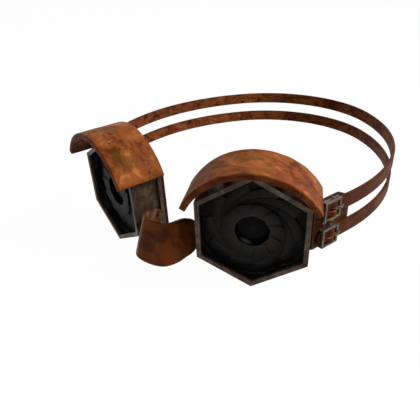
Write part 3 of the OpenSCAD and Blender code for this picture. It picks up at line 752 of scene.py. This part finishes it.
# %% [markdown]
# ## Straps
# Each strap is one long band. Seen from above it leaves the buckle straight, follows the side of the
# head on a wide arc, rounds the back on a tighter one, and comes forward again to the other tab. Over
# the buckle's centre pin it rises in a small hump, because the pin and its leather loop lie under it.

# %% Points beside a tab
STRAP_HEIGHT, STRAP_THICK = 8.2, 1.8
STRAP_LEVELS = {"upper": 13.2, "lower": -2.5}
SIDE_ARC, BACK_ARC = 127.0, 78.6
TANGENT = np.array([86.2, 40.6])
STRAP_ANGLE = np.radians(19.5)
TAIL_START, TAIL_ROUND = -25.6, 2.3
HUMP_CLEAR, STRAIGHT_END = -11, -1
LEFT_END = -24
HUMP_HEIGHT = 2.0
HUMP = [(TAIL_START, 0), (-22, 0.02), (-19.6, 0.4), (-17.6, 0.94), (-16.4, 1), (-15.5, 0.94), (-14.4, 0.5),
        (-13.1, 0.08), (-11.5, 0), (0, 0)]
RUN = np.array([np.sin(STRAP_ANGLE), np.cos(STRAP_ANGLE)])
OUTWARD = np.array([np.cos(STRAP_ANGLE), -np.sin(STRAP_ANGLE)])
SIDE_CENTRE = TANGENT - SIDE_ARC * OUTWARD


def on_tab(back, up, outward):
    """Points beside the right tab, in millimetres: distances back along the strap, up, and outwards."""
    back, up, outward = np.broadcast_arrays(*[np.asarray(v, float) for v in (back, up, outward)])
    plan = TANGENT + back[..., None] * RUN + outward[..., None] * OUTWARD
    return np.concatenate([plan, up[..., None]], -1) * MM


print("tail ends at", np.round(on_tab(TAIL_START, 0, 0) / MM, 1), "mm")

# %% [markdown]
# ### The middle line
# The middle line is the same for both straps. The hump's corners are rounded by averaging each height
# with its neighbours', and the left half of the arcs is the right half mirrored.

# %% Strap path


def strap_path():
    """The strap's middle line in plan and its outward normals, from the tail round to the left tab."""
    knots, rises = np.array(HUMP).T
    run = np.concatenate([np.linspace(TAIL_START, HUMP_CLEAR, 60),
                          np.linspace(HUMP_CLEAR + 1, STRAIGHT_END, 5)])
    wide = np.interp(run, knots, rises * HUMP_HEIGHT)
    rise = np.convolve(np.pad(wide, 2, "edge"), [0.1, 0.2, 0.4, 0.2, 0.1], "valid")
    straight = TANGENT + run[:, None] * RUN + rise[:, None] * OUTWARD
    back_y = SIDE_CENTRE[1] + np.sqrt((SIDE_ARC - BACK_ARC) ** 2 - SIDE_CENTRE[0] ** 2)
    join = np.arctan2(back_y - SIDE_CENTRE[1], -SIDE_CENTRE[0])
    side = np.linspace(-STRAP_ANGLE, join, 60)[:-1]
    back = np.linspace(join, np.pi / 2, 30)
    plan = np.vstack([SIDE_CENTRE + SIDE_ARC * np.stack([np.cos(side), np.sin(side)], 1),
                      [0, back_y] + BACK_ARC * np.stack([np.cos(back), np.sin(back)], 1)])
    normal = np.stack([np.cos(np.concatenate([side, back])), np.sin(np.concatenate([side, back]))], 1)
    left_run = np.linspace(STRAIGHT_END, LEFT_END, 12)
    left = (TANGENT + left_run[:, None] * RUN) * [-1, 1]
    mirrored = (plan * [-1, 1])[:-1][::-1], (normal * [-1, 1])[:-1][::-1]
    path = np.vstack([straight, plan, mirrored[0], left])
    slope = np.gradient(rise, run)
    tilt = unit(OUTWARD - slope[:, None] * RUN)
    normals = np.vstack([tilt, normal, mirrored[1], np.tile(OUTWARD * [-1, 1], (len(left), 1))])
    return path, normals


def strap(level):
    """A band along the path, whose ends narrow to rounded tips."""
    path, normal = strap_path()
    n = len(path)
    centre = np.column_stack([path, np.full(n, STRAP_LEVELS[level])]) * MM
    length = np.concatenate([[0], np.cumsum(np.linalg.norm(np.diff(path, axis=0), axis=1))])
    from_tip = np.clip(np.minimum(length, length[-1] - length) / TAIL_ROUND, 0, 1)
    half_w = STRAP_HEIGHT / 2 - TAIL_ROUND * (1 - np.sqrt(1 - (1 - from_tip) ** 2))
    shape = dict(centre=centre, width_dir=UPRIGHT, thick_dir=np.column_stack([normal, np.zeros(n)]),
                 half_w=half_w * MM, half_t=STRAP_THICK / 2 * MM, rounding=0.4 * MM)
    return band(f"{level}_strap_leather", shape, face_steps=10, edge_reach=0.0003)


print("strap path:", len(strap_path()[0]), "stations")

# %% [markdown]
# ### The slit for the prong
# The prong comes up through a slit in the strap's hump. The strap is made whole, and a thin prism with
# round ends is then taken out of it, which is also how a punch does it.

# %% Slits and straps
SLIT = (-20.0, -13.3)
SLIT_HALF = 1.1
SLIT_DEPTH = (-4, 8)


def cut(piece, cutter):
    """Takes the cutter's shape out of a piece and deletes the cutter."""
    modifier = piece.modifiers.new("cut", "BOOLEAN")
    modifier.operation, modifier.solver, modifier.object = "DIFFERENCE", "EXACT", cutter
    graph = bpy.context.evaluated_depsgraph_get()
    mesh = bpy.data.meshes.new_from_object(piece.evaluated_get(graph))
    piece.modifiers.clear()
    piece.data = mesh
    bpy.data.objects.remove(cutter)
    return piece


def slit_tool(level):
    """A flat prism with half-round ends, standing through the strap."""
    turn = np.linspace(-np.pi / 2, np.pi / 2, 9)
    low, high = SLIT[0] + SLIT_HALF, SLIT[1] - SLIT_HALF
    outline = np.vstack([np.stack([high + SLIT_HALF * np.cos(turn), SLIT_HALF * np.sin(turn)], 1),
                         np.stack([low - SLIT_HALF * np.cos(turn), -SLIT_HALF * np.sin(turn)], 1)])
    height = STRAP_LEVELS[level] + outline[:, 1]
    points = np.vstack([on_tab(outline[:, 0], height, depth) for depth in SLIT_DEPTH])
    n = len(outline)
    walls = [[k, (k + 1) % n, n + (k + 1) % n, n + k] for k in range(n)]
    ends = [list(range(n))[::-1], list(range(n, 2 * n))]
    return outwards(mesh_piece("slit_tool", points, walls + ends))


for level in STRAP_LEVELS:
    made = cut(strap(level), slit_tool(level))
    dress(made, STRAP_LEATHER, ROOT, "strap_leather", f"{level}_strap")
    print(made.name, len(made.data.vertices), "points")

# %% [markdown]
# ## Side tabs
# A tab is a flat piece of thicker leather that hangs behind the strap ends. Its upper rear corner is
# cut off at a slant, and it narrows towards its free end. It is a band too, with its upper and lower
# edges given at a few places along it.

# %% Side tabs
TAB_PLACES = (-28.6, -11, -9, -0.3)
TAB_LOW = (-8.8, -8.8, -8.1, -4.2)
TAB_TOP = (18.7, 18.7, 18.7, 14.4)
TAB_MIDDLE, TAB_HALF = -1.93, 0.97
TAB_CORNER, TAB_TAPER = 1.8, 0.1


def side_tab(side):
    """A band whose width runs up and down and whose ends are rounded in the flat."""
    front, rear = TAB_PLACES[0], TAB_PLACES[-1]
    turn = np.linspace(0, np.pi / 2, 8)
    where = np.concatenate([front + TAB_CORNER * (1 - np.cos(turn)),
                            np.linspace(front + TAB_CORNER, rear - TAB_CORNER - TAB_TAPER, 24)[1:],
                            rear - TAB_CORNER * (1 - np.sin(turn))])
    where = np.unique(np.round(where, 4))
    low, top = np.interp(where, TAB_PLACES, TAB_LOW), np.interp(where, TAB_PLACES, TAB_TOP)
    from_end = np.clip(np.minimum(where - where[0], where[-1] - where) / TAB_CORNER, 0, 1)
    narrow = TAB_CORNER * (1 - np.sqrt(1 - (1 - from_end) ** 2))
    centre = on_tab(where, (low + top) / 2, TAB_MIDDLE)
    flip = np.array([1 if side == "right" else -1, 1, 1])
    shape = dict(centre=centre * flip, width_dir=UPRIGHT, thick_dir=np.array([*OUTWARD, 0.0]) * flip,
                 half_w=((top - low) / 2 - narrow) * MM, half_t=TAB_HALF * MM, rounding=0.45 * MM)
    made = band(f"tab_leather_{side}", shape, face_steps=18, edge_reach=0.0004)
    return dress(made, TAB_LEATHER, ROOT, "brown_leather", f"side_tab_{side}")


for side in SIDES:
    reach = max(abs(corner.x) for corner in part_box(f"side_tab_{side}")) / MM
    print(side_tab(side).name, "reaches", round(reach, 1), "mm from the middle")

# %% [markdown]
# ## Chapes
# A chape is the loop of thin leather that holds a buckle's pin. It lies on the tab, wraps the pin on
# both sides of the prong, and tucks back under itself.

# %% Chapes
PIN_BACK, PIN_OUT, PIN_WRAP = -16.4, 0.1, 0.72
CHAPE_BASE = -0.59
CHAPE_FRONT = -18.9
CHAPE_BANDS = (1.1, 3.6)
CHAPE_HALF, CHAPE_FLAT_STEPS = 0.22, 5


def chape(level):
    """Two narrow bands: straight along the tab, then most of the way round the pin."""
    turn = np.linspace(-np.pi / 2, np.pi * 1.05, 22)
    flat = np.linspace(CHAPE_FRONT, PIN_BACK - 0.2, CHAPE_FLAT_STEPS)
    back = np.concatenate([flat, PIN_BACK + PIN_WRAP * np.cos(turn)])
    out = np.concatenate([np.full(CHAPE_FLAT_STEPS, CHAPE_BASE), PIN_OUT + PIN_WRAP * np.sin(turn)])
    slope = unit(np.stack([np.gradient(back), np.gradient(out)], 1))
    middle, half = sum(CHAPE_BANDS) / 2, (CHAPE_BANDS[1] - CHAPE_BANDS[0]) / 2
    thick = np.column_stack([-slope[:, 1:] * RUN + slope[:, :1] * OUTWARD, np.zeros(len(back))])
    shape = dict(width_dir=UPRIGHT, thick_dir=thick, half_w=half * MM, half_t=CHAPE_HALF * MM,
                 rounding=0.12 * MM)
    parts = [dict(shape, centre=on_tab(back, STRAP_LEVELS[level] + way * middle, out)) for way in (-1, 1)]
    made = band(f"chape_leather_{level}", *parts, face_steps=6, edge_reach=0.0002)
    return dress(made, TAB_LEATHER, ROOT, "brown_leather", f"chape_{level}")


for level in STRAP_LEVELS:
    print(chape(level).name)

# %% [markdown]
# ## Steel with softened corners
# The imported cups, rims and buckles are right in size, with knife-sharp corners. Real sheet steel is
# broken at every edge, and those edges catch the light. Each piece is copied, its flat faces are made
# whole again, and a narrow bevel rounds the corners inside the piece's own outline.

# %% Softened copies
# Facets that differ by more than this stay apart, so that a curved wall keeps its true shape
FLAT = np.radians(0.5)
SHARP = np.radians(28)


def softened(node, width):
    """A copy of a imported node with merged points, whole flat faces and rounded corners. Only edges that
    stand out are rounded: an inside corner would gain material, and the blades pass close to some."""
    mesh = nodes[node].data.copy()
    work = bmesh.new()
    work.from_mesh(mesh)
    bmesh.ops.remove_doubles(work, verts=work.verts, dist=2e-6)
    bmesh.ops.dissolve_limit(work, angle_limit=FLAT, verts=work.verts, edges=work.edges)
    weight = work.edges.layers.float.new("bevel_weight_edge")
    for edge in work.edges:
        edge[weight] = float(edge.is_convex and edge.calc_face_angle(0) > SHARP)
    work.to_mesh(mesh)
    work.free()
    mesh.polygons.foreach_set("use_smooth", np.ones(len(mesh.polygons), bool))
    mesh.set_sharp_from_angle(angle=SHARP)
    piece = add_object(f"{node}_worn", mesh)
    bevel = piece.modifiers.new("soft corners", "BEVEL")
    bevel.width, bevel.segments, bevel.limit_method = width, 2, "WEIGHT"
    bevel.harden_normals = True
    return piece


def soften(body, slot, material, width, *names):
    """Puts a softened copy, its corners rounded by a width in millimetres, in place of each node."""
    for name in names:
        dress(softened(name, width * MM), material, body, slot, name)


for side in SIDES:
    soften(ROOT, "cup_steel", CUP_STEEL, 0.25, f"housing_{side}", f"bezel_{side}")
    soften(ROOT, "cup_steel", BRACKET_STEEL, 0.15, f"side_bracket_{side}")
    # The hood formers under the hoods take the near-black blade finish: painted shade under the hoods
    soften(ROOT, "cup_steel", BLADE_STEEL, 0.15, f"hood_former_{side}")
for level in STRAP_LEVELS:
    soften(ROOT, "buckle_steel", BUCKLE_STEEL, 0.25, f"buckle_frame_{level}")
    soften(f"prong_body_{level}", "buckle_steel", BUCKLE_STEEL, 0.15, f"prong_{level}")
    soften(ROOT, "buckle_steel", BUCKLE_STEEL, 0.12, f"buckle_pin_{level}")
soften(ROOT, "buckle_steel", BUCKLE_STEEL, 0.35, "bridge_rivets", "bracket_screws", "hood_screws")
soften(ROOT, "brass", BRASS, 0.3, "tab_rivets", "strap_rivets")

# %% [markdown]
# ## Black inside the cups
# The softened cups and rims are bare steel outside and as black as the blades within. The faces inside
# the hexagon of the base plate, and behind the front rim, get the blades' finish.

# %% Black inside
RIM_DEPTH, PLATE_MARGIN = 1.6 * MM, 0.2 * MM
HEXAGON_WALLS = np.radians((0, 60, 120))


def blacken_inside(piece, cup, reach, behind):
    """Gives the faces nearer the axis than reach, and further back than behind, the blade's finish.
    How near is read square to the hexagon's walls, so the limit is a hexagon too."""
    mesh = piece.data
    mesh.materials.append(BLADE_STEEL)
    centres = np.empty(len(mesh.polygons) * 3)
    mesh.polygons.foreach_get("center", centres)
    out, back, up = cup.split(centres.reshape(-1, 3)).T
    nearness = np.abs(np.outer(np.cos(HEXAGON_WALLS), out) + np.outer(np.sin(HEXAGON_WALLS), up)).max(0)
    black = (nearness < reach) & (back > behind)
    mesh.polygons.foreach_set("material_index", black.astype(np.int32))
    return int(black.sum())


for side in SIDES:
    inside = CUPS[side].measure(f"base_plate_{side}")[:, 0].max() + PLATE_MARGIN
    black = [blacken_inside(bpy.data.objects[f"{name}_{side}_worn"], CUPS[side], inside, RIM_DEPTH)
             for name in ("bezel", "housing")]
    print(side, "cup: faces blackened", black)

# %% [markdown]
# ## Finishes on the imported pieces
# The blades, plates, rings and lenses keep their imported shapes, because they fit each other closely.
# Only their material changes. Each blade has a painted highlight along its curved inner edge, where its
# neighbour slides over it, and painted shade towards its outer edge.

# %% Finishes
BLADE_INNER, BLADE_OUTER = 20 * MM, 27.3 * MM
BLADE_SWUNG = np.radians(24)


def paint(material, *names):
    """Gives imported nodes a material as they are."""
    for name in names:
        nodes[name].data.materials.clear()
        nodes[name].data.materials.append(material)


def paint_blade_sheen(side, number):
    """Writes a blade's painted sheen mask: 1 at its curved inner edge, falling to 0 at its outer edge, so the
    inner edge gets a painted highlight and the covered part painted shade. The edge's centre lies on the
    cup's axis when the iris is open and has swung about the pivot since."""
    cup = CUPS[side]
    joint = next(j for j in record["behaviour"]["joints"] if j["name"] == f"blade_turn_{side}_{number}")
    pivot_out, _, pivot_up = cup.split(joint["pos_m"])
    pivot = complex(pivot_out, pivot_up)
    name = f"iris_blade_{side}_{number}"
    out, _, up = cup.measure(name).T
    middle = pivot - pivot * np.exp(1j * BLADE_SWUNG)
    from_edge = (np.abs(out + 1j * up - middle) - BLADE_INNER) / (BLADE_OUTER - BLADE_INNER)
    painted_sheen = nodes[name].data.attributes.new("painted_sheen", "FLOAT", "POINT")
    painted_sheen.data.foreach_set("value", np.clip(1 - from_edge, 0, 1) ** 2)


BLADES = [name for name in nodes if name.startswith("iris_blade")]
paint(BLADE_STEEL, *BLADES)
for side in SIDES:
    paint(BLADE_STEEL, f"base_plate_{side}", f"cam_ring_{side}", f"lens_cell_{side}", f"lens_retainer_{side}")
    paint(dark_glass(f"lens_glass_{side}", CUPS[side]), f"lens_{side}")
    for number in range(1, len(BLADES) // 2 + 1):
        paint_blade_sheen(side, number)
print("blades:", len(BLADES))

# %% [markdown]
# ## Studio
# The photograph has a pure white ground and one warm light from the right, above and a little behind,
# so the hoods glow at their right ends while everything that faces the camera stays dark. A large
# soft lamp gives that light, a weak wide one fills the front, and the ground is white to the camera.

# %% Floor
FLOOR_SIZE = 6.0
FLOOR_SHARE, FLOOR_STRENGTH = 0.94, 1.04


def either(tree, a, b):
    """1 where one or both of two values are 1."""
    made = tree.nodes.new("ShaderNodeMath")
    made.operation, made.use_clamp = "ADD", True
    tree.links.new(a, made.inputs[0])
    tree.links.new(b, made.inputs[1])
    return made.outputs[0]


def seen_ray(tree):
    """1 for the rays that show the background: to the camera, in metal, and through glass."""
    rays = tree.nodes.new("ShaderNodeLightPath").outputs
    through = either(tree, rays["Is Glossy Ray"], rays["Is Transmission Ray"])
    return either(tree, rays["Is Camera Ray"], through)


def white_ground():
    """A floor under the lowest point, white to the camera and in metal. A small share of it is plain
    grey, which takes the goggles' shadow."""
    mesh = bpy.data.meshes.new("floor")
    low = cad_box[0].z
    s = FLOOR_SIZE
    mesh.from_pydata([(-s, -s, low), (s, -s, low), (s, s, low), (-s, s, low)], [], [(0, 1, 2, 3)])
    floor = add_object("floor", mesh)
    r = Recipe("ground")
    tree = r.tree
    glow = tree.nodes.new("ShaderNodeEmission")
    glow.inputs["Strength"].default_value = FLOOR_STRENGTH
    r.put(r.shader.inputs["Base Color"], (0.5, 0.5, 0.5, 1))
    r.shader.inputs["Roughness"].default_value = 0.9
    blend = tree.nodes.new("ShaderNodeMixShader")
    r.put(blend.inputs[0], r.math("MULTIPLY", seen_ray(tree), FLOOR_SHARE))
    tree.links.new(r.shader.outputs[0], blend.inputs[1])
    tree.links.new(glow.outputs[0], blend.inputs[2])
    tree.links.new(blend.outputs[0], tree.nodes["Material Output"].inputs["Surface"])
    mesh.materials.append(r.material)
    return floor


print(white_ground().name, "at", round(cad_box[0].z / MM, 1), "mm")

# %% [markdown]
# ### Light
# The world is white where a ray shows the background, and lights the goggles only a little. The lamps
# do the rest.

# %% World and lamps
LAMP_TARGET = Vector((0, 0.03, 0))


def sky(strength):
    """White where the camera looks, dimmer as light on the object."""
    world = bpy.data.worlds.new("studio")
    bpy.context.scene.world = world
    world.use_nodes = True
    tree = world.node_tree
    pick = tree.nodes.new("ShaderNodeMapRange")
    tree.links.new(seen_ray(tree), pick.inputs["Value"])
    pick.inputs["To Min"].default_value = strength
    pick.inputs["To Max"].default_value = 1.0
    tree.nodes["Background"].inputs["Color"].default_value = (1, 1, 1, 1)
    tree.links.new(pick.outputs[0], tree.nodes["Background"].inputs["Strength"])


def lamp(name, place, size, power, colour):
    """A square soft lamp at a place in metres, turned to the goggles."""
    data = bpy.data.lights.new(name, "AREA")
    data.size, data.energy, data.color = size, power, colour
    made = add_object(name, data)
    made.location = place
    made.rotation_mode = "QUATERNION"
    made.rotation_quaternion = (Vector(place) - LAMP_TARGET).to_track_quat("Z", "Y")


sky(strength=0.07)
lamp("key", place=(0.68, 0.27, 0.68), size=0.3, power=9.5, colour=(1, 0.96, 0.90))
lamp("fill", place=(-0.35, -0.85, 0.60), size=0.7, power=1.5, colour=(0.95, 0.97, 1))
print("lamps:", len(bpy.data.lights))

# %% [markdown]
# ## Size
# The imported model's box is printed.

# %% Size and finish
print("packed", [[round(x / MM, 1) for x in v] for v in cad_box])
